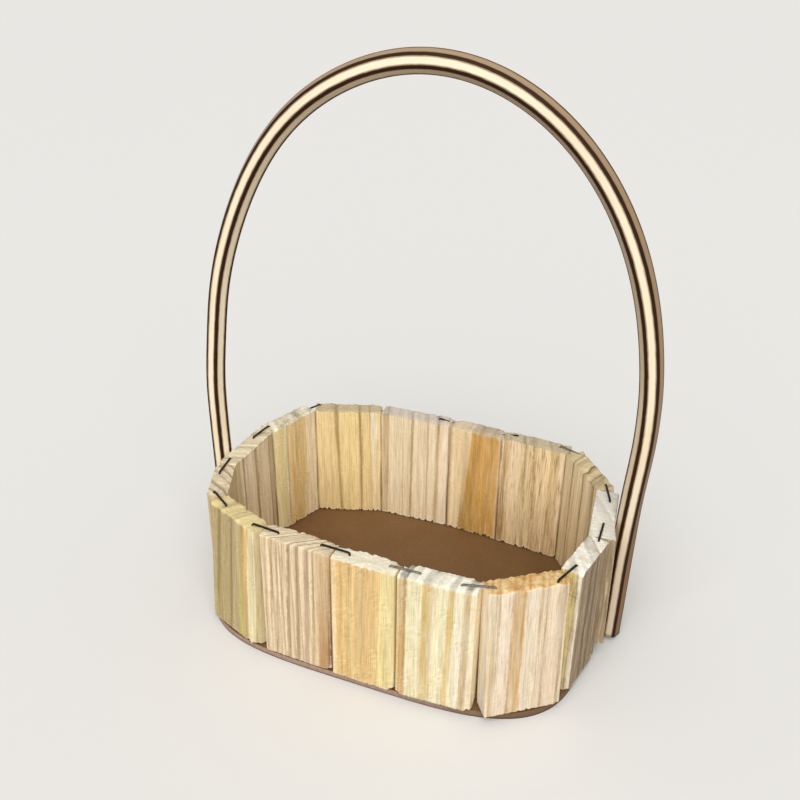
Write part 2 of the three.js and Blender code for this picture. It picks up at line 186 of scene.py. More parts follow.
slatLooks = {
    "front_slat_1": dict(
        slot="pine_straw", wood=(200, 180, 131), dark=(164, 144, 95), end=((229, 209, 153), (187, 166, 112)),
        spacing=6.0, lean=-15, sway=0.5, ridges=3.0, relief=0.34, rings=0.3, flecks=0.15, marks=1.1,
        fits=(0, 0), flare={"top": 0, "foot": 1.2, "reach": 36},
        topChips=[(25, 0, 2.4, 0.9)], footChips=[(25, -7.5, 2.6, 1.4), (20.5, -7.5, 1.6, 0.8)],
        bands=[(3.9, 1.7, (170, 153, 102), 0.95, 0.6, 3.0), (8.6, 3.8, (192, 172, 126), 0.5, 0.5, 2.0),
               (11.2, 1.2, (166, 146, 100), 0.9, 0.8, 1.7), (14.6, 3.4, (208, 188, 152), 0.7, 0.6, 2.4),
               (18.0, 1.2, (186, 162, 104), 0.9, 0.1, 1.6), (20.4, 3.0, (242, 202, 134), 1.0, 0.3, 2.2),
               (17.6, 2.6, (208, 192, 110), 0.0, 0.95, 1.6), (23.4, 4.4, (255, 243, 196), 1.0, 0.95, 2.0)]),
    "front_slat_2": dict(
        slot="pine_pink", wood=(253, 231, 192), dark=(193, 166, 131), end=((238, 218, 184), (192, 169, 132)),
        spacing=1.03, lean=-54, sway=0.3, ridges=1.25, relief=0.2, rings=0.8, flecks=0.2, marks=0.8,
        fits=(0, 0), flare={"top": 0, "foot": 0.8, "reach": 90},
        topChips=[(26.5, 0, 2.6, 1.0), (0, 0, 1.6, 0.6)], footChips=[(26.5, -7.5, 2.2, 1.2)],
        bands=[(1.9, 0.7, (190, 163, 128), 0.6, 0.7, 0.3), (4.2, 0.6, (186, 158, 122), 0.7, 0.6, 0.4),
               (6.2, 0.7, (190, 162, 128), 0.6, 0.8, 0.4), (8.2, 0.6, (186, 158, 124), 0.6, 0.6, 0.5),
               (10.7, 1.0, (176, 148, 116), 0.9, 0.8, 0.4), (14.1, 1.4, (186, 158, 128), 0.85, 0.85, 0.3),
               (17.8, 1.6, (190, 162, 132), 0.75, 0.75, 0.2), (20.4, 0.8, (182, 154, 122), 0.8, 0.7, 0.2),
               (23.8, 5.0, (234, 202, 158), 0.9, 0.9, 0.4), (24.2, 3.6, (204, 156, 104), 0.1, 0.9, 0.2),
               (26.3, 0.9, (146, 110, 70), 0.6, 0.95, 0.0)]),
    "front_slat_3": dict(
        slot="pine_honey", wood=(242, 210, 148), dark=(222, 184, 120), end=((238, 229, 205), (221, 208, 178)),
        spacing=4.6, lean=-84, sway=0.5, relief=0.07, rings=0.12, flecks=0.3, marks=1.5, patchy=0.5,
        fits=(0, 0), flare={"top": 0, "foot": 0.6, "reach": 90},
        topChips=[(0, 0, 1.8, 0.8), (23, 0, 3.0, 1.3)], footChips=[(23, -7.5, 2.4, 1.6)],
        bands=[(1.7, 1.7, (252, 226, 188), 0.95, 0.95, 0.0), (3.9, 2.2, (230, 192, 122), 0.6, 0.7, 0.0),
               (6.9, 0.7, (222, 180, 116), 0.7, 0.6, 0.3), (13.9, 2.6, (242, 200, 140), 0.6, 0.4, 0.3),
               (20.9, 5.6, (253, 238, 178), 1.0, 0.95, 0.6), (19.0, 3.0, (224, 208, 140), 0.0, 0.5, 0.6)]),
    "front_slat_4": dict(
        slot="pine_cream", wood=(255, 248, 212), dark=(228, 197, 136), end=((255, 252, 234), (206, 193, 164)),
        spacing=7.6, lean=-8, sway=0.4, relief=0.1, rings=0.25, flecks=0.55, marks=1.3, patchy=0.5,
        endMark=2.0, fits=(0, 0.3), flare={"top": 0, "foot": 0.9, "reach": 90},
        topChips=[(0, 0, 3.4, 1.5), (26, 0, 2.8, 1.1)],
        footChips=[(0, -7.5, 2.0, 1.4), (26, -7.5, 2.0, 1.2)],
        bands=[(2.0, 2.7, (230, 182, 112), 0.95, 0.9, 0.0), (2.8, 0.9, (206, 160, 92), 0.85, 0.6, 0.2),
               (6.2, 5.0, (247, 240, 196), 0.7, 0.7, 0.0), (9.8, 2.6, (240, 208, 136), 0.95, 0.85, 0.3),
               (11.7, 1.0, (246, 220, 182), 0.6, 0.7, 0.3), (14.4, 3.4, (246, 238, 192), 0.5, 0.5, 0.3),
               (17.8, 2.2, (242, 214, 144), 0.9, 0.85, 1.0), (20.8, 2.0, (254, 247, 222), 0.9, 0.9, 0.4),
               (23.2, 2.2, (222, 190, 148), 0.85, 0.85, 0.6), (25.3, 1.4, (248, 226, 196), 0.8, 0.8, 0.0)]),
    "front_slat_5": dict(
        slot="pine_pink", wood=(248, 231, 202), dark=(212, 178, 136), end=((234, 208, 154), (198, 144, 76)),
        spacing=3.0, lean=-20, sway=0.8, relief=0.1, rings=0.2, flecks=0.6, marks=0.7, patchy=0.6,
        endMark=0.4, mottle=0.75, fits=(0.45, 0.26), flare={"top": 0, "foot": 0.8, "reach": 40},
        footChips=[(26, -7.5, 1.4, 0.6)],
        bands=[(2.2, 3.6, (242, 233, 198), 0.7, 0.3, 0.0), (1.6, 1.8, (230, 198, 146), 0.15, 0.9, 0.2),
               (5.2, 4.2, (250, 235, 212), 0.85, 0.85, 0.4), (3.6, 0.6, (222, 190, 142), 0.7, 0.5, 0.3),
               (10.1, 3.6, (238, 204, 150), 0.9, 0.95, 0.5), (8.3, 0.7, (198, 140, 92), 0.45, 0.75, 0.4),
               (11.2, 0.9, (216, 168, 108), 0.9, 0.1, 0.4), (14.4, 4.2, (246, 233, 210), 0.8, 0.8, 0.4),
               (17.4, 0.8, (216, 184, 140), 0.8, 0.3, 0.4), (19.5, 0.7, (212, 176, 132), 0.7, 0.7, 0.4),
               (22.6, 5.4, (242, 216, 186), 0.2, 0.7, 0.0),
               # painted light: the last band paints the start side face, in the wedge of the joint, nearly
               # white so it looks as lit as the front.
               (25.3, 1.3, (190, 158, 104), 0.6, 0.7, 0.0), (-3.4, 6.4, (255, 250, 234), 1.0, 1.0, 0.0)]),
    # painted shade, in part: the two right end slats have darker, greyer wood and dark tones, which also
    # stand in for the shade on that end.
    "right_end_slat_1": dict(
        slot="pine_straw", wood=(183, 162, 133), dark=(128, 108, 82), end=((250, 243, 226), (198, 188, 170)),
        spacing=6.5, lean=-50, sway=0.6, ridges=1.5, relief=0.26, rings=0.45, flecks=0.6, marks=1.6,
        patchy=0.6, endMark=0.45, mottle=0.45,
        topChips=[(0, -7.5, 2.0, 0.7)], footChips=[(0, -7.5, 1.8, 1.4), (21, -7.5, 1.8, 1.2)],
        bands=[(2.6, 1.6, (138, 119, 96), 0.7, 0.6, 0.4), (5.4, 1.6, (186, 156, 140), 0.8, 0.7, 0.4),
               (8.4, 2.4, (134, 114, 90), 0.8, 0.8, 0.8), (11.0, 0.9, (196, 168, 148), 0.7, 0.6, 0.4),
               (13.0, 1.5, (132, 113, 84), 0.7, 0.8, 0.4), (16.2, 1.0, (140, 118, 96), 0.6, 0.7, 0.4),
               # the bands at -5.6, -5.4 and -0.6 lie on the start side face: yellow and white layers of the
               # wood, raised to near white as painted light for that shaded face.
               (19.4, 3.0, (162, 138, 102), 0.8, 0.8, 0.0), (-5.6, 7.0, (255, 236, 164), 0.95, 0.95, 0.0),
               (-5.4, 2.0, (255, 226, 120), 0.8, 0.6, 0.8), (-0.6, 2.2, (252, 240, 216), 0.9, 0.9, 0.0)]),
    "right_end_slat_2": dict(
        slot="pine_pink", wood=(186, 164, 130), dark=(128, 106, 78), end=((232, 226, 210), (212, 204, 188)),
        spacing=9.0, lean=-70, sway=0.5, relief=0.03, rings=0.5, flecks=0.9, marks=1.0,
        glued=0.27, leanOut=0.42, flare={"top": 1.2, "foot": 2.5, "reach": 9.4},
        footChips=[(0, -7.5, 5.5, 4.6)], bands=[]),
    "right_end_slat_3": dict(
        slot="pine_honey", wood=(246, 225, 182), dark=(184, 158, 112), end=((224, 202, 158), (144, 120, 80)),
        spacing=5.0, lean=30, sway=0.5, relief=0.26, rings=0.3, flecks=0.3, marks=1.0,
        topChips=[(13.0, -2.0, 2.8, 1.2), (3.5, -6.0, 2.4, 0.9)],
        bands=[(12.7, 60, (196, 160, 112), 0.0, 0.45, 0.0), (2.8, 1.6, (158, 138, 88), 0.8, 0.6, 0.0),
               (10.8, 1.2, (166, 142, 96), 0.85, 0.8, 0.5), (19.2, 1.2, (172, 146, 102), 0.8, 0.7, 0.5)]),
    "back_slat_1": dict(
        slot="pine_cream", wood=(247, 219, 169), dark=(170, 134, 86), end=((202, 185, 152), (164, 146, 114)),
        spacing=3.4, lean=24, sway=0.8, ridges=1.6, relief=0.14, rings=0.25, flecks=1.0, marks=0.5,
        topChips=[(26.5, -7.5, 2.4, 0.9)],
        bands=[(13.2, 60, (200, 163, 116), 0.0, 0.6, 0.0), (1.2, 2.4, (252, 228, 192), 0.8, 0.1, 0.0),
               (5.2, 1.2, (236, 200, 122), 0.7, 0.3, 1.5), (8.5, 3.0, (250, 220, 178), 0.7, 0.2, 1.0),
               (12.0, 0.8, (176, 142, 92), 0.8, 0.6, 2.5), (15.8, 0.9, (170, 148, 98), 0.9, 0.2, 1.5),
               (14.6, 2.2, (250, 226, 176), 0.1, 0.8, 2.5), (20.0, 5.0, (252, 228, 196), 0.8, 0.2, 0.8),
               (18.0, 1.2, (248, 222, 168), 0.3, 0.8, 3.0), (24.6, 2.4, (182, 142, 94), 0.35, 0.9, -1.0)]),
    "back_slat_2": dict(
        slot="pine_honey", wood=(244, 218, 172), dark=(210, 178, 128), end=((219, 200, 172), (190, 164, 128)),
        spacing=5.0, lean=4, sway=0.4, relief=0.06, rings=0.12, flecks=0.2, marks=1.1,
        topChips=[(0, -7.5, 2.6, 1.0), (22.7, -7.5, 2.6, 1.0)],
        bands=[(0.4, 1.2, (222, 184, 144), 0.8, 0.8, 0.0), (7.0, 11.8, (218, 168, 92), 0.97, 0.95, 0.6),
               (12.6, 4.4, (218, 168, 92), 0.96, 0.96, -4.3), (10.4, 12.0, (184, 142, 66), 0.0, 0.75, -2.4),
               (20.9, 1.2, (250, 228, 190), 0.6, 0.6, 0.0), (22.4, 0.8, (180, 146, 98), 0.7, 0.7, 0.0)]),
    "back_slat_3": dict(
        slot="pine_pink", wood=(248, 229, 194), dark=(206, 176, 128), end=((216, 201, 182), (182, 167, 150)),
        spacing=4.2, lean=18, sway=0.3, relief=0.18, rings=0.25, flecks=0.35, marks=0.6,
        topChips=[(0, -7.5, 2.4, 0.8)],
        bands=[(2.4, 3.0, (252, 230, 206), 0.7, 0.4, 0.0), (5.2, 1.5, (198, 168, 116), 0.95, 0.75, -0.5),
               (7.4, 1.2, (253, 236, 206), 0.8, 0.7, 0.0), (9.5, 0.8, (212, 182, 138), 0.6, 0.6, 0.0),
               (16.4, 1.1, (192, 162, 112), 0.9, 0.75, -0.4), (20.4, 0.6, (206, 178, 134), 0.3, 0.8, 0.0),
               (27.6, 0.8, (198, 164, 114), 0.7, 0.6, -0.6), (29.0, 1.8, (222, 188, 138), 0.85, 0.7, -0.4)]),
    "back_slat_4": dict(
        slot="pine_straw", wood=(246, 219, 162), dark=(196, 160, 100), end=((200, 181, 144), (176, 153, 116)),
        spacing=5.4, lean=8, sway=1.1, relief=0.16, rings=0.15, flecks=0.3, marks=0.8,
        topChips=[(0, -7.5, 2.4, 0.6)],
        bands=[(2.9, 2.1, (251, 241, 216), 0.95, 0.2, 0.6), (4.9, 1.2, (220, 186, 130), 0.7, 0.6, 0.0),
               (8.9, 1.2, (190, 154, 94), 0.95, 0.9, 0.6), (13.0, 5.0, (249, 226, 156), 0.6, 0.6, 0.0),
               (18.2, 1.7, (192, 156, 96), 0.95, 0.85, 1.2), (24.0, 6.0, (246, 220, 164), 0.5, 0.5, 0.0)]),
    "left_end_slat_1": dict(
        slot="pine_straw", wood=(255, 242, 198), dark=(206, 176, 118), end=((255, 246, 216), (178, 161, 126)),
        spacing=5.0, lean=-30, sway=0.6, relief=0.14, rings=0.2, flecks=0.3, marks=1.3, mottle=0.55,
        topChips=[(24, -3.7, 2.4, 0.8)],
        bands=[(3.2, 5.0, (252, 228, 196), 0.85, 0.75, 0.0), (11.0, 9.6, (240, 208, 146), 0.95, 0.5, 0.0),
               (11.6, 7.6, (224, 184, 112), 0.1, 0.95, -1.0), (16.4, 1.1, (196, 162, 106), 0.4, 0.7, 0.0),
               (20.8, 6.4, (255, 235, 172), 0.95, 0.7, 0.0)]),
    "left_end_slat_2": dict(
        slot="pine_pink", wood=(254, 236, 198), dark=(188, 162, 122), end=((240, 225, 190), (198, 179, 142)),
        spacing=5.0, lean=25, sway=0.5, ridges=3.2, relief=0.36, rings=0.3, flecks=0.2, marks=1.0,
        topChips=[(0, -3.7, 2.2, 0.8)],
        bands=[(1.6, 3.4, (220, 194, 146), 0.7, 0.8, 0.0), (2.6, 1.2, (170, 142, 96), 0.3, 0.8, 0.0),
               (7.0, 3.8, (248, 224, 194), 0.6, 0.5, 0.0), (12.7, 1.8, (178, 150, 110), 0.85, 0.9, 0.4),
               (17.2, 4.4, (244, 218, 190), 0.6, 0.5, 0.0), (21.4, 1.5, (180, 152, 112), 0.9, 0.8, 0.5),
               (25.0, 3.0, (228, 202, 152), 0.6, 0.6, 0.0)]),
    "left_end_slat_3": dict(
        slot="pine_cream", wood=(222, 201, 157), dark=(184, 158, 114), end=((232, 214, 180), (132, 108, 76)),
        spacing=3.4, lean=-52, sway=0.4, relief=0.2, rings=0.5, flecks=0.3, marks=1.0,
        topChips=[(19.5, 0, 2.2, 0.8)], bands=[]),
}
facedOut = ("front", "right_end_slat_1", "right_end_slat_2")  # the photo shows the outer side of these
pineLook = {  # what all the slats share
    "ringLine": [(0, 0.04), (0.4, 0.1), (0.8, 0.8), (0.92, 1), (1, 0.04)], "sawTurn": -36,
    "paleDash": (255, 240, 206), "torn": (248, 238, 212), "jointShade": (92, 60, 22),
    "fibreTint": (0.81, 0.75, 0.65, 1), "fibreGlow": 1.17, "specular": 0.3, "bump": (0.6, 0.14 * mm)}


def slatFrame(node):  # corner, axes and sizes of a slat, read from the CAD solid
    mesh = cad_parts[node].data
    upright = [face for face in mesh.polygons if abs(face.normal.z) < 0.1]
    inward = max(upright, key=lambda face: face.area).normal.copy()
    middle = sum((vert.co for vert in mesh.vertices), Vector()) / len(mesh.vertices)
    if inward.dot(Vector((middle.x, middle.y, 0))) > 0:
        inward.negate()
    way = inward.cross(Vector((0, 0, 1))).normalized()
    axes = Matrix((way, inward, way.cross(inward)))
    spots = [axes @ vert.co for vert in mesh.vertices]
    low = Vector([min(spot[axis] for spot in spots) for axis in range(3)])
    high = Vector([max(spot[axis] for spot in spots) for axis in range(3)])
    fits = slatLooks[node].get("fits", (slatShape["fit"], slatShape["fit"]))
    low.x -= fits[0] * mm  # no floor shows through the joints
    high.x += fits[1] * mm
    low.y -= slatLooks[node].get("glued", 0) * mm
    size = (high - low) / mm
    home = axes.transposed().to_4x4()
    home.translation = axes.transposed() @ Vector((low.x, high.y, low.z))
    faced = -size.y if node.startswith(facedOut) else 0
    return {"home": home, "size": size, "faced": faced}  # faced: the side that the bands are set out on


def grainTilt(look):  # sideways run of the streaks for each millimetre into the wood
    steepest = slatShape["steepest"]
    return math.tan(math.radians(max(min(look["lean"], steepest), -steepest)))


def acrossGrain(look, place, spot):  # place along the face, followed through the wood along the rings
    return spot.x + (spot.y - place["faced"]) * grainTilt(look)


def ringPhase(look, place, spot, seed):  # which year ring a point in the wood lies in
    lean = math.radians(look["lean"])
    size = place["size"]
    reach = slatShape["pithAway"]
    taper = 0.008
    pith = Vector((size.x / 2 - reach * math.cos(lean), -size.y / 2 - reach * math.sin(lean)))
    radius = (Vector((spot.x, spot.y)) - pith).length - reach + taper * spot.z
    slow = ripple(spot.x * 0.06, spot.y * 0.06, spot.z * 0.022 + seed)
    quick = ripple(spot.x * 0.2, spot.y * 0.2, spot.z * 0.07 + seed + 40)
    radius += look["sway"] * (slow + 0.35 * quick)
    uneven = ripple(radius / look["spacing"] * 0.6, seed * 3.7, 0)
    return radius / look["spacing"] + 0.7 * uneven + seed * 1.37


def ridgeLevel(look, across, rise, seed):  # ridges along the grain, about -1 to 1, lowest in the dark streaks
    width = look.get("ridges", slatShape["ridges"])
    level = 0.8 * ripple(across / width, rise * 0.65, seed)
    level += 0.6 * ripple(across / width * 2.4, rise, seed + 5)
    darkSum, widest = sum(look["wood"]) - 60, 5
    for at, wide, tone, atTop, atFoot, slant in look["bands"]:
        if sum(tone) < darkSum and wide < widest:
            away = abs(across - at - slant * (rise - 0.5))
            strength = atFoot + (atTop - atFoot) * rise
            level -= 0.7 * strength * (1 - ease(wide * 0.2, wide * 0.65, away))
    return level


def slatBlank(size):  # a block with rounded edges, cut into a fine grid
    bm = bmesh.new()
    bmesh.ops.create_cube(bm, size=1)
    bmesh.ops.scale(bm, vec=size, verts=bm.verts)
    bmesh.ops.translate(bm, vec=(size.x / 2, -size.y / 2, size.z / 2), verts=bm.verts)
    hair = 0.01
    for faceY, radius in ((0, slatShape["innerArris"]), (-size.y, slatShape["outerArris"])):
        posts = [edge for edge in bm.edges if edge.calc_length() > size.z / 2]
        roundOff(bm, [edge for edge in posts if abs(edge.verts[0].co.y - faceY) < hair], radius, 3)
    rims = [edge for edge in bm.edges if abs(edge.verts[0].co.z - edge.verts[1].co.z) < hair]
    rims = [edge for edge in rims if len(edge.link_faces) == 2 and edge.calc_face_angle() > 1]
    roundOff(bm, rims, slatShape["rimArris"], 2)
    for axis in range(3):
        long = [edge for edge in bm.edges if edge.calc_length() > size.y / 2]
        ways = [(edge.verts[0].co - edge.verts[1].co).normalized() for edge in long]
        along = [edge for edge, way in zip(long, ways) if abs(way[axis]) > 0.99]
        cuts = round(size[axis] / slatShape["grid"])
        bmesh.ops.subdivide_edges(bm, edges=along, cuts=cuts, use_grid_fill=True)
    bm.normal_update()
    return bm


def chipDepth(spot, chips):
    lost = 0
    for chipX, chipY, radius, depth in chips:
        away = math.hypot(spot.x - chipX, spot.y - chipY)
        away += 0.5 * ripple(spot.x * 0.9, spot.y * 0.9, chipX)
        lost = max(lost, depth * (1 - ease(radius * 0.35, radius, away)))
    return lost


def topLift(spot, size, seed, chips):  # the sawn top: rough, worn along its long edges, chipped
    rough = slatShape["topRough"] * ripple(spot.x * 0.9, spot.y * 0.9, seed)
    edge = min(-spot.y, spot.y + size.y)
    ragged = ripple(spot.x * 0.45, seed + 9, spot.y * 0.3)
    ragged = max(ragged + 0.5 * ripple(spot.x * 1.7, seed, spot.y * 0.3) + 0.3, 0)
    worn = slatShape["topWear"] * ragged * (1 - ease(0, 1.5, edge))
    return rough - slatShape["settle"] - worn - chipDepth(spot, chips)


def footLift(spot, size, seed, chips):  # torn fibres round the foot, deepest at the inner face
    side = 0 if spot.y > -size.y / 2 else 50
    edge = min(-spot.y, spot.y + size.y)
    torn = ripple(spot.x * 0.7, seed + side, 0) * 0.6
    torn += ripple(spot.x * 2.3, seed + side, 7) * 0.6
    torn *= slatShape["fray"] * (slatShape["outerFray"] if side else 1)
    return max(torn, -slatShape["settle"]) * (1 - ease(0.2, 1.8, edge)) + chipDepth(spot, chips)


def carveSlat(bm, place, look, seed):
    size = place["size"]
    deep = slatShape["endDepth"]  # the wear of the ends fades out over this depth
    flare = look.get("flare", {"top": 0, "foot": 0, "reach": 1})
    layers = {name: bm.verts.layers.float.new(name) for name in ("ringPhase", "ridge", "sawnEnd", "nearEdge")}
    for vert in bm.verts:
        spot = vert.co.copy()
        rise = spot.z / size.z
        ridge = ridgeLevel(look, acrossGrain(look, place, spot), rise, seed)
        sawn = ease(0.3, 0.8, abs(vert.normal.z))
        gaps = sorted((spot.x, size.x - spot.x, -spot.y, spot.y + size.y, spot.z, size.z - spot.z))
        fromSaw = min(spot.z, size.z - spot.z)
        vert[layers["ringPhase"]] = ringPhase(look, place, spot, seed)
        vert[layers["ridge"]] = ridge
        vert[layers["sawnEnd"]] = sawn
        vert[layers["nearEdge"]] = (1 - ease(0.25, 1.1, gaps[1])) * (1 - 0.65 * ease(0.5, 3, fromSaw))
        flat = Vector((vert.normal.x, vert.normal.y, 0))
        onFace = ease(0.0, 1.0, gaps[1] + 0.3) * (0.1 if abs(vert.normal.x) > 0.8 else 1)
        fuzz = slatShape["fuzz"] * ripple(spot.x * 1.3, spot.y * 1.3, spot.z * 0.3 + seed)
        vert.co += flat * (1 - sawn) * onFace * (look["relief"] * (ridge - 0.5) + fuzz)
        outside = ease(-size.y / 2, -size.y, spot.y)
        wide = flare["foot"] + (flare["top"] - flare["foot"]) * rise
        vert.co.y -= wide * max(1 - spot.x / flare["reach"], 0) * outside
        vert.co.y -= look.get("leanOut", 0) * rise * outside
        if spot.z > size.z - deep:
            lift = topLift(spot, size, seed, look.get("topChips", [])) + 0.09 * min(ridge, 0.5)
            vert.co.z += lift * ease(size.z - deep, size.z, spot.z)
        elif spot.z < deep:
            vert.co.z += footLift(spot, size, seed, look.get("footChips", [])) * (1 - ease(0, deep, spot.z))


def pineFinish(name, look, place):
    finish = Finish(name)
    toSlat = place["home"].inverted()
    spot = finish.add("Mapping", {
        "Vector": finish.objectSpot(), "Location": toSlat.translation / mm,
        "Rotation": toSlat.to_euler(), "Scale": (1 / mm, 1 / mm, 1 / mm)}).outputs[0]
    axes = finish.add("SeparateXYZ", {0: spot}).outputs
    rise = finish.sums("DIVIDE", axes[2], place["size"].z)
    phase = finish.readAttribute("ringPhase")
    ridge = finish.readAttribute("ridge")
    sawn = finish.readAttribute("sawnEnd")
    late = finish.curve(finish.sums("FRACT", phase), pineLook["ringLine"])
    year = finish.add("TexWhiteNoise", {"W": finish.sums("FLOOR", phase)}, noise_dimensions="1D").outputs[0]
    late = finish.times(late, finish.remap(year, 0, 1, 0.35, 1.0, False))
    broad = finish.longCloud(spot, (0.3, 0.3, 0.016), 3)
    fibre = finish.longCloud(spot, (2.6, 2.6, 0.09), 4, 0.6)
    feather = finish.longCloud(spot, (1.1, 1.1, 0.5), 5, 0.7)
    dashes = finish.longCloud(spot, (1.5, 1.5, 0.08), 3, 0.6)
    patches = finish.longCloud(spot, (0.5, 0.5, 0.05), 3)
    sawTurn = (0, math.radians(pineLook["sawTurn"]), 0)
    sawLine = {"Vector": spot, "Rotation": sawTurn, "Scale": (2.2, 2.2, 0.8)}
    sawLine = finish.add("Mapping", sawLine, vector_type="TEXTURE").outputs[0]
    sawMarks = finish.cloud(sawLine, 1.0, 3, 0.6)

    # ring lines, then the streaks
    plain, dark = paint(*look["wood"]), paint(*look["dark"])
    wood = finish.mix(finish.times(late, look["rings"]), plain, dark)
    inward = finish.sums("SUBTRACT", axes[1], place["faced"])
    across = finish.sums("MULTIPLY_ADD", inward, grainTilt(look), axes[0])
    across = finish.wander(across, broad, 4 * look["sway"])
    across = finish.wander(across, feather, 0.7 + 2.2 * look["flecks"])
    patchy = look.get("patchy", 0.3)
    patches = finish.remap(patches, 0.35, 0.62, 1 - patchy, 1 + 0.2 * patchy, False)
    for at, wide, tone, atTop, atFoot, slant in look["bands"]:
        off = finish.sums("SUBTRACT", finish.sums("MULTIPLY_ADD", rise, -slant, across), at - slant / 2)
        soft = min(0.45, wide * 0.3)
        inBand = finish.remap(finish.sums("ABSOLUTE", off), wide / 2 - soft, wide / 2 + soft, 1, 0)
        strength = finish.times(finish.sums("MULTIPLY_ADD", rise, atTop - atFoot, atFoot), patches)
        wood = finish.mix(finish.times(inBand, strength), wood, paint(*tone))
    streaks = finish.add("RGBToBW", {0: finish.mix(1.0, wood, plain, "DIVIDE")}).outputs[0]

    # dashes, ridges, fibres and saw marks
    paleDash = paint(*pineLook["paleDash"])
    wood = finish.mix(finish.remap(dashes, 0.53, 0.66, 0, 0.75 * look["flecks"]), wood, dark)
    wood = finish.mix(finish.remap(dashes, 0.34, 0.45, 0.5 * look["flecks"], 0), wood, paleDash)
    # darker in the grooves and paler on the ridges: partly the grain's own tone, partly painted shade and
    # highlight on the relief.
    wood = finish.shade(wood, finish.remap(ridge, -0.7, 0.7, 0.82, 1.08, False))
    inFibre = finish.remap(fibre, 0.28, 0.5, 1, 0, False)
    wood = finish.mix(1.0, wood, finish.mix(inFibre, (1, 1, 1, 1), pineLook["fibreTint"]), "MULTIPLY")
    wood = finish.shade(wood, finish.remap(fibre, 0.5, 0.72, 1, pineLook["fibreGlow"], False))
    scored = finish.remap(finish.cloud(spot, 0.12, 2), 0.4, 0.65, 0.02 * look["marks"], 0.12 * look["marks"])
    scored = finish.times(scored, finish.remap(sawMarks, 0.3, 0.7, -1, 1, False))
    wood = finish.shade(wood, finish.sums("ADD", scored, 1.0))

    # pale torn fibres along the edges, and painted shade in the joints inside
    torn = finish.times(finish.readAttribute("nearEdge"), finish.remap(feather, 0.45, 0.65, 0, 0.55))
    wood = finish.mix(torn, wood, paint(*pineLook["torn"]))
    # painted shade: a dark brown line along the inner faces where the slats meet, stronger towards the foot.
    fromEnd = finish.sums("MINIMUM", axes[0], finish.sums("SUBTRACT", place["size"].x, axes[0]))
    atInside = finish.remap(axes[1], -0.9, -0.25, 0, 1)
    jointShade = finish.times(atInside, finish.remap(fromEnd, 0.3, 0.75, 0.85, 0))
    jointShade = finish.times(jointShade, finish.remap(patches, 0.7, 1.06, 0.4, 1))
    jointShade = finish.times(jointShade, finish.remap(rise, 0, 1, 1.15, 0.7, False))
    wood = finish.mix(jointShade, wood, paint(*pineLook["jointShade"]))

    # the sawn ends
    endLine = finish.sums("ADD", finish.times(late, 0.6), finish.remap(ridge, -0.7, 0.5, 0.35, 0, False))
    mottle = finish.remap(finish.cloud(spot, 0.3, 4, 0.65), 0.38, 0.68, 0, look.get("mottle", 0.2))
    endLine = finish.sums("MINIMUM", finish.sums("ADD", endLine, mottle), 1.0)
    endWood = finish.mix(endLine, paint(*look["end"][0]), paint(*look["end"][1]))
    deepest = 1 - 0.38 * look.get("endMark", 1)
    endWood = finish.shade(endWood, finish.remap(streaks, 0.4, 1.0, deepest, 1.0, False))
    pores = finish.cloud(spot, 2.4, 3, 0.7)
    endWood = finish.shade(endWood, finish.remap(pores, 0.3, 0.7, 0.81, 1.12, False))

    roughness = finish.remap(fibre, 0.3, 0.7, 0.62, 0.8, False)
    finish.surface(finish.mix(sawn, wood, endWood), roughness, pineLook["specular"])
    height = finish.sums("ADD", fibre, finish.times(sawMarks, 0.4 * look["marks"]))
    finish.bump(finish.sums("ADD", height, finish.times(pores, sawn)), *pineLook["bump"])
    return finish.material


def makeSlat(node, look, seed):
    place = slatFrame(node)
    bm = slatBlank(place["size"])
    carveSlat(bm, place, look, seed)
    bmesh.ops.transform(bm, matrix=place["home"] @ Matrix.Scale(mm, 4), verts=bm.verts)
    finishPiece(bm, node + "_wood", node, pineFinish(node + "_pine", look, place))


for number, (node, look) in enumerate(slatLooks.items()):
    makeSlat(node, look, number * slatShape["seedStep"])
print("slats:", len(slatLooks))


# Hardboard base, a squarish oval set a little askew
baseLook = {
    "squareness": 3.8, "askew": -2.8, "steps": 240, "ease": 0.3, "edgeRough": 0.08,
    "face": (116, 85, 52), "fleck": (90, 62, 37), "edge": (184, 156, 140),
    "shadedEdge": (120, 95, 70), "shadedFrom": (12, 56), "lowerShade": 0.5, "specular": 0.35}


def hardboardFinish():
    finish = Finish("hardboard")
    spot = finish.millimetreSpot()
    axes = finish.add("SeparateXYZ", {0: spot}).outputs
    grain = finish.cloud(spot, 1.1, 5, 0.7)
    cloudy = finish.cloud(spot, 0.06, 3)
    face = paint(*baseLook["face"])
    board = finish.mix(finish.remap(grain, 0.45, 0.8, 0, 0.55), face, paint(*baseLook["fleck"]))
    board = finish.shade(board, finish.remap(cloudy, 0.3, 0.7, 0.93, 1.07, False))
    toRight = finish.remap(axes[0], *baseLook["shadedFrom"], 0, 1)
    edge = finish.mix(toRight, paint(*baseLook["edge"]), paint(*baseLook["shadedEdge"]))
    rim = finish.mix(finish.remap(grain, 0.35, 0.7, 0, 0.5), edge, face)
    rim = finish.shade(rim, finish.remap(axes[2], 0.2, 1.3, baseLook["lowerShade"], 1))
    colour = finish.mix(finish.readAttribute("cutEdge"), board, rim)
    finish.surface(colour, finish.remap(grain, 0.3, 0.7, 0.55, 0.75, False), baseLook["specular"])
    finish.bump(grain, 0.35, 0.06 * mm)
    return finish.material


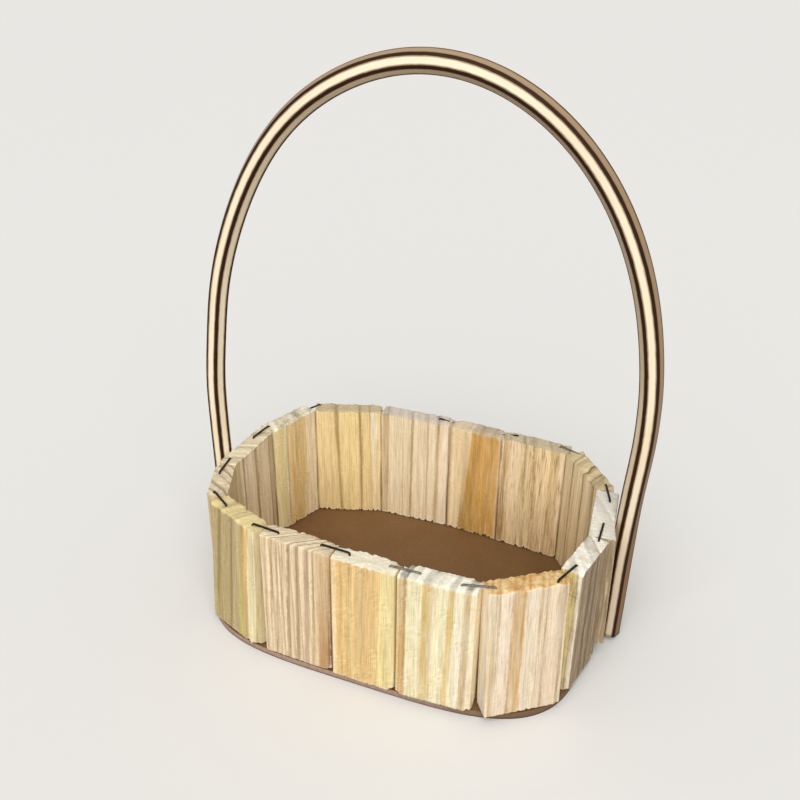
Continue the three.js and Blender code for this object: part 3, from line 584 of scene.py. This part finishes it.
def makeBase():
    low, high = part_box("base_plate")
    thick = high.z - low.z
    turn = Matrix.Rotation(math.radians(baseLook["askew"]), 4, "Z")
    spots = [turn.inverted() @ vert.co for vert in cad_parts["base_plate"].data.vertices]
    halfLength = max(abs(spot.x) for spot in spots)
    halfWidth = max(abs(spot.y) for spot in spots)
    power = 2 / baseLook["squareness"]
    bm = bmesh.new()
    bmesh.ops.create_circle(bm, cap_ends=True, segments=baseLook["steps"], radius=1)
    for vert in bm.verts:
        vert.co.x = math.copysign(halfLength * abs(vert.co.x) ** power, vert.co.x)
        vert.co.y = math.copysign(halfWidth * abs(vert.co.y) ** power, vert.co.y)
    made = bmesh.ops.extrude_face_region(bm, geom=bm.faces[:])["geom"]
    bmesh.ops.translate(bm, vec=(0, 0, thick), verts=ofKind(made, bmesh.types.BMVert))
    bmesh.ops.recalc_face_normals(bm, faces=bm.faces)
    rims = [edge for edge in bm.edges if abs(edge.verts[0].co.z - edge.verts[1].co.z) < thick / 2]
    roundOff(bm, rims, baseLook["ease"] * mm, 2)
    bmesh.ops.transform(bm, matrix=turn, verts=bm.verts)
    bm.normal_update()
    edgeLayer = bm.verts.layers.float.new("cutEdge")
    rough = baseLook["edgeRough"] * mm
    for vert in bm.verts:
        inEdge = 1 - ease(0.55, 0.9, abs(vert.normal.z))
        shift = noise.noise(vert.co / mm * 0.6) * rough - rough
        vert[edgeLayer] = inEdge
        vert.co += Vector((vert.normal.x, vert.normal.y, 0)) * inEdge * shift
    finishPiece(bm, "base_board", "base_plate", hardboardFinish(), smooth=False)


makeBase()
print("base plate")


# Staples of dark flat wire, one over each joint, in millimetres
stapleLook = {
    "wire": 0.5, "depth": 0.72, "bend": 0.4, "bendSteps": 5, "leg": 7.6, "ease": 0.1, "sunk": 0.4,
    "dark": ((30, 26, 24), (52, 48, 45)), "paintedGlint": ((108, 102, 92), (158, 151, 138)), "metallic": 0.7,
    "glinting": ("staple_03", "staple_04", "staple_08"),  # these get a paler steel, a painted glint
    "driven": {  # the deeper ones: how far sunk, and tilt in degrees
        "staple_03": (0.55, 0), "staple_04": (0.55, 0), "staple_08": (0.8, 4), "staple_09": (1.35, -9),
        "staple_10": (1.2, 9), "staple_11": (2.2, 0), "staple_12": (1.1, -6)}}


def stapleFinish(name, dark, pale):
    finish = Finish(name)
    worn = finish.cloud(finish.millimetreSpot(), 1.4, 4, 0.6)
    steel = finish.mix(finish.remap(worn, 0.35, 0.7, 0, 1), paint(*dark), paint(*pale))
    finish.surface(steel, finish.remap(worn, 0.3, 0.7, 0.32, 0.5, False))
    finish.shader.inputs["Metallic"].default_value = stapleLook["metallic"]
    finish.bump(worn, 0.2, 0.03 * mm)
    return finish.material


def makeStaple(node, finish):
    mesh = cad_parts[node].data
    low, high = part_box(node)
    top = [vert.co for vert in mesh.vertices if vert.co.z > high.z - 0.05 * mm]
    far = max(top, key=lambda spot: spot.x + spot.y * 0.01)
    near = min(top, key=lambda spot: spot.x + spot.y * 0.01)
    if (high.y - low.y) > (high.x - low.x):
        far = max(top, key=lambda spot: spot.y)
        near = min(top, key=lambda spot: spot.y)
    heading = math.atan2(far.y - near.y, far.x - near.x)
    turned = Matrix.Rotation(-heading, 4, "Z")
    middle = (low + high) / 2
    reach = max(abs((turned @ (vert.co - middle)).x) for vert in mesh.vertices) / mm
    wire, bend, leg = stapleLook["wire"], stapleLook["bend"], stapleLook["leg"]
    bm = bmesh.new()
    bmesh.ops.create_grid(bm, x_segments=1, y_segments=1, size=0.5)
    bmesh.ops.scale(bm, vec=(wire, stapleLook["depth"], 1), verts=bm.verts)
    bmesh.ops.translate(bm, vec=(wire / 2 - reach, 0, -leg), verts=bm.verts)
    tip = bm.faces[:]

    def draw(vec):
        made = bmesh.ops.extrude_face_region(bm, geom=tip)["geom"]
        bmesh.ops.translate(bm, vec=vec, verts=ofKind(made, bmesh.types.BMVert))
        return ofKind(made, bmesh.types.BMFace)

    def turnCorner(centre):
        made = bmesh.ops.spin(
            bm, geom=tip, cent=centre, axis=(0, 1, 0), angle=math.pi / 2, steps=stapleLook["bendSteps"],
            use_merge=False)
        return ofKind(made["geom_last"], bmesh.types.BMFace)

    tip = draw((0, 0, leg - bend))
    tip = turnCorner((wire + bend - reach, 0, -bend))
    tip = draw((2 * (reach - wire - bend), 0, 0))
    tip = turnCorner((reach - wire - bend, 0, -bend))
    tip = draw((0, 0, bend - leg))
    bmesh.ops.remove_doubles(bm, verts=bm.verts, dist=0.001)
    inner = [face for face in bm.faces if all(len(edge.link_faces) > 2 for edge in face.edges)]
    bmesh.ops.delete(bm, geom=inner, context="FACES_ONLY")
    bmesh.ops.recalc_face_normals(bm, faces=bm.faces)
    sharp = [edge for edge in bm.edges if len(edge.link_faces) == 2 and edge.calc_face_angle() > 1.2]
    roundOff(bm, sharp, stapleLook["ease"], 2)
    sunk, tilt = stapleLook["driven"].get(node, (stapleLook["sunk"], 0))
    home = Matrix.Translation((middle.x, middle.y, high.z - (wire + sunk) * mm))
    home = home @ Matrix.Rotation(heading, 4, "Z") @ Matrix.Rotation(math.radians(tilt), 4, "Y")
    bmesh.ops.transform(bm, matrix=home @ Matrix.Scale(mm, 4), verts=bm.verts)
    finishPiece(bm, node + "_wire", node, finish)


darkWire = stapleFinish("staple_wire", *stapleLook["dark"])
# painted glint: the staples listed as glinting get a paler copy of the steel.
paintedGlintWire = stapleFinish("staple_wire_glint", *stapleLook["paintedGlint"])
stapleNodes = sorted(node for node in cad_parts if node.startswith("staple_"))
for node in stapleNodes:
    makeStaple(node, paintedGlintWire if node in stapleLook["glinting"] else darkWire)
print("staples:", len(stapleNodes))


# Handle, a hexagonal rod with dark arrises bent to an uneven arch, in millimetres.
# across and sharp: width over the arrises, and half of it before they are rounded.
# rightSpring and leftSpring: heights where the arch leaves the legs, which splay a little outward.
# twist: degrees that the front flat turns outward, at shares of the way from the right foot to the left.
# strays: bends off the even arch, as place, width and millimetres outward.
# stripe and fringe: widths from an arris.
# Shares: strength of the painted shade on the outer flats and the inner flats, in the side tone, and on the
# right foot, in the foot tone.
handleLook = {
    "across": 7.6, "sharp": 4.02, "arris": 0.635, "sides": 6, "sideCuts": 3, "splay": 0.9,
    "rightSpring": 97.5, "leftSpring": 77.5, "crownShift": 3.0, "footLift": 2.0, "steps": 260,
    "twist": [(0.0, 0), (0.06, 0), (0.13, 10), (0.24, 6), (0.35, 5), (0.5, 9), (0.7, 5), (1.0, 5)],
    "strays": [(0.178, 0.045, 1.35), (0.43, 0.08, -0.42), (0.638, 0.072, 1.5), (0.8, 0.035, -0.85)],
    "stripe": 0.78, "fringe": 1.3, "cream": (255, 243, 214), "streak": (240, 221, 182),
    "dark": (42, 22, 4), "brown": (128, 82, 34), "side": (134, 103, 68), "foot": (205, 180, 158),
    "outerShadeShare": 0.84, "innerShadeShare": 0.5, "footShadeShare": 0.45, "specular": 0.18}


def handleFinish():
    finish = Finish("handle_rod")
    spot = finish.add("Attribute", {}, attribute_name="rodSpot").outputs["Vector"]
    axes = finish.add("SeparateXYZ", {0: spot}).outputs
    outward, along = axes[1], axes[2]
    fibre = finish.longCloud(spot, (2.6, 2.6, 0.05), 4, 0.6)
    blotch = finish.longCloud(spot, (0.3, 0.3, 0.03), 3)
    ragged = finish.longCloud(spot, (1.2, 1.2, 0.35), 3)
    away = finish.wander(finish.readAttribute("fromArris"), ragged, 0.35)
    stripe, fringe = handleLook["stripe"], handleLook["fringe"]
    inStripe = finish.remap(away, stripe - 0.2, stripe, 1, 0)
    tones = {name: paint(*handleLook[name]) for name in ("cream", "streak", "dark", "brown", "side", "foot")}
    wood = finish.mix(finish.remap(blotch, 0.4, 0.75, 0, 0.6), tones["cream"], tones["streak"])
    wood = finish.shade(wood, finish.remap(fibre, 0.3, 0.7, 0.93, 1.04, False))
    # painted shade: the rod darkens towards the right foot.
    wood = finish.mix(finish.remap(along, 30, 95, handleLook["footShadeShare"], 0), wood, tones["foot"])
    # painted shade: the outer flats and the inner flats take the darker side tone, by the shares along the
    # rod.
    outer = finish.times(finish.remap(outward, 1.8, 2.6, 0, 1),
                         finish.remap(along, 40, 110, 1, handleLook["outerShadeShare"]))
    inner = finish.times(finish.remap(outward, -2.6, -1.8, 1, 0),
                         finish.remap(along, 190, 260, handleLook["innerShadeShare"], 0))
    inner = finish.times(inner, finish.remap(along, 60, 165, 0.4, 1))
    wood = finish.mix(finish.sums("ADD", outer, inner), wood, tones["side"])
    wood = finish.mix(finish.remap(away, stripe, fringe, 0.8, 0), wood, tones["brown"])
    scorch = finish.shade(tones["dark"], finish.remap(fibre, 0.3, 0.7, 0.75, 1.3))
    roughness = finish.remap(inStripe, 0, 1, 0.45, 0.6, False)
    finish.surface(finish.mix(inStripe, wood, scorch), roughness, handleLook["specular"])
    finish.bump(fibre, 0.25, 0.05 * mm)
    return finish.material


def hoopPoint(share, reach, crown):  # a point on the axis of the even arch
    spring = reach + handleLook["splay"]
    shift = handleLook["crownShift"]
    foot = handleLook["footLift"]
    springs = [handleLook["rightSpring"], handleLook["leftSpring"]]
    spans = [(spring - shift, crown - springs[0]), (spring + shift, crown - springs[1])]
    arcs = [math.pi / 2 * math.sqrt((wide * wide + tall * tall) / 2) for wide, tall in spans]
    lengths = [springs[0] - foot, *arcs, springs[1] - foot]
    gone = share * sum(lengths)
    part = 0
    while part < 3 and gone > lengths[part]:
        gone -= lengths[part]
        part += 1
    gone /= lengths[part]
    if part == 0:
        return Vector((reach + handleLook["splay"] * gone, 0, foot + lengths[0] * gone))
    if part == 3:
        return Vector((handleLook["splay"] * gone - spring, 0, springs[1] - lengths[3] * gone))
    wide, tall = spans[part - 1]
    angle = (part - 1 + gone) * math.pi / 2
    return Vector((shift + wide * math.cos(angle), 0, springs[part - 1] + tall * math.sin(angle)))


def rodWay(point, share, reach, crown):  # the way along the rod, from two points close by
    near = 0.001
    way = point(min(share + near, 1), reach, crown) - point(max(share - near, 0), reach, crown)
    return way.normalized()


def rodPoint(share, reach, crown):  # the even arch with its stray bends
    way = rodWay(hoopPoint, share, reach, crown)
    stray = sum(out * math.exp(-((share - at) / wide) ** 2) for at, wide, out in handleLook["strays"])
    return hoopPoint(share, reach, crown) + Vector((way.z, 0, -way.x)) * stray


def rodTwist(share):
    stops = handleLook["twist"]
    for (early, before), (late, after) in zip(stops, stops[1:]):
        if share <= late:
            return before + (after - before) * ease(early, late, share)
    return stops[-1][1]


def rodFrame(share, reach, crown):  # seat of the section: x to the front, y outward, z along the rod
    way = rodWay(rodPoint, share, reach, crown)
    axes = Matrix(((0, -1, 0), (way.z, 0, -way.x), way)).transposed().to_4x4()
    twist = Matrix.Rotation(math.radians(rodTwist(share)), 4, "Z")
    return Matrix.Translation(rodPoint(share, reach, crown)) @ axes @ twist


def rodSection(bm):  # a hexagon with rounded arrises and divided flats
    bmesh.ops.create_circle(bm, segments=handleLook["sides"], radius=handleLook["sharp"])
    roundOff(bm, bm.verts[:] + bm.edges[:], handleLook["arris"], 3, affect="VERTICES")
    flats = [edge for edge in bm.edges if edge.calc_length() > handleLook["sharp"] / 2]
    bmesh.ops.subdivide_edges(bm, edges=flats, cuts=handleLook["sideCuts"])
    spotLayer = bm.verts.layers.float_vector.new("rodSpot")
    arrisLayer = bm.verts.layers.float.new("fromArris")
    step = 2 * math.pi / handleLook["sides"]
    for vert in bm.verts:
        angle = math.atan2(vert.co.x, vert.co.y)
        aside = vert.co.length * math.sin(abs(angle - round(angle / step) * step))
        vert[spotLayer] = vert.co
        vert[arrisLayer] = aside / math.cos(step / 2)
    return spotLayer


def makeHandle():
    nearFloor = 12 * mm
    feet = [vert.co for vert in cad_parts["handle"].data.vertices if vert.co.z < nearFloor]
    right = [spot for spot in feet if spot.x > 0]
    left = [spot for spot in feet if spot.x < 0]
    rightFoot = sum(right, Vector()) / len(right)
    leftFoot = sum(left, Vector()) / len(left)
    span = rightFoot - leftFoot
    heading = math.atan2(span.y, span.x)
    middle = (rightFoot + leftFoot) / 2
    home = Matrix.Translation((middle.x, middle.y, 0)) @ Matrix.Rotation(heading, 4, "Z")
    home = home @ Matrix.Scale(mm, 4)
    ends = [home.inverted() @ spot for spot in right]
    lowest = min(spot.z for spot in ends)
    reach = max(spot.x for spot in ends if spot.z < lowest + 1) - handleLook["across"] / 2
    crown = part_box("handle")[1].z / mm - handleLook["across"] / 2
    bm = bmesh.new()
    spotLayer = rodSection(bm)
    seat = rodFrame(0, reach, crown)
    bmesh.ops.transform(bm, matrix=seat, verts=bm.verts)
    edges = bm.edges[:]
    gone = 0
    for step in range(1, handleLook["steps"] + 1):
        made = bmesh.ops.extrude_edge_only(bm, edges=edges)["geom"]
        verts, edges = ofKind(made, bmesh.types.BMVert), ofKind(made, bmesh.types.BMEdge)
        following = rodFrame(step / handleLook["steps"], reach, crown)
        bmesh.ops.transform(bm, matrix=following @ seat.inverted(), verts=verts)
        gone += (following.translation - seat.translation).length
        seat = following
        for vert in verts:
            vert[spotLayer].z = gone
    bmesh.ops.holes_fill(bm, edges=bm.edges[:], sides=0)
    bmesh.ops.recalc_face_normals(bm, faces=bm.faces)
    bmesh.ops.transform(bm, matrix=home, verts=bm.verts)
    finishPiece(bm, "handle_hoop", "handle", handleFinish())


makeHandle()
print("handle")


# Stage: pale floor, one soft lamp in front and above, a weak even sky, in metres
stageLook = {
    "floor": (220, 218, 214), "bounce": (120, 104, 90),  # pale to the eye, while it throws little light back
    "halfSize": 6, "cells": 8, "sky": 0.52, "lamp": 2.8, "spread": 65, "lampSpot": (0.13, -0.69, 0.71)}
shotLook = {  # millimetres and degrees; focal is in pixels of a frame of 800 by 800
    "focal": 893.1, "frame": 800, "sensor": 36, "nearest": 0.01,
    "spot": (86.6, -264.8, 232.9), "tilt": 27.68, "azimuth": 19.09, "roll": -0.63}


def makeFloor():
    bm = bmesh.new()
    cells = stageLook["cells"]
    bmesh.ops.create_grid(bm, x_segments=cells, y_segments=cells, size=stageLook["halfSize"])
    mesh = bpy.data.meshes.new("floor")
    bm.to_mesh(mesh)
    bm.free()
    finish = Finish("floor_paint")
    rays = finish.add("LightPath", {}).outputs
    seen = finish.sums("MAXIMUM", rays["Is Camera Ray"], rays["Is Glossy Ray"])
    seen = finish.sums("MAXIMUM", seen, rays["Is Transmission Ray"])
    colour = finish.mix(seen, paint(*stageLook["bounce"]), paint(*stageLook["floor"]))
    finish.surface(colour, 0.9, 0.1)
    mesh.materials.append(finish.material)
    floor = bpy.data.objects.new("floor", mesh)
    bpy.context.scene.collection.objects.link(floor)


def makeLight():
    lamp = bpy.data.lights.new("front_lamp", "SUN")
    lamp.energy = stageLook["lamp"]
    lamp.angle = math.radians(stageLook["spread"])
    lampPiece = bpy.data.objects.new("front_lamp", lamp)
    lampPiece.location = stageLook["lampSpot"]
    aim = -Vector(stageLook["lampSpot"])
    lampPiece.rotation_euler = aim.to_track_quat("-Z", "Y").to_euler()
    bpy.context.scene.collection.objects.link(lampPiece)
    world = bpy.data.worlds.new("even_sky")
    world.use_nodes = True
    sky = world.node_tree.nodes["Background"]
    sky.inputs["Color"].default_value = (1, 1, 1, 1)
    sky.inputs["Strength"].default_value = stageLook["sky"]
    bpy.context.scene.world = world


def makeCamera():
    camera = bpy.data.cameras.new("photo_view")
    camera.sensor_width = shotLook["sensor"]
    camera.lens = shotLook["focal"] / shotLook["frame"] * camera.sensor_width
    camera.clip_start = shotLook["nearest"]
    turn = Matrix.Rotation(math.radians(shotLook["azimuth"]), 4, "Z")
    tip = Matrix.Rotation(math.radians(90 - shotLook["tilt"]), 4, "X")
    roll = Matrix.Rotation(math.radians(-shotLook["roll"]), 4, "Z")
    piece = bpy.data.objects.new("photo_view", camera)
    piece.matrix_world = Matrix.Translation(Vector(shotLook["spot"]) * mm) @ turn @ tip @ roll
    bpy.context.scene.collection.objects.link(piece)
    bpy.context.scene.camera = piece


makeFloor()
makeLight()
makeCamera()
bpy.context.scene.view_settings.view_transform = "Standard"
print("stage, lamp and camera")
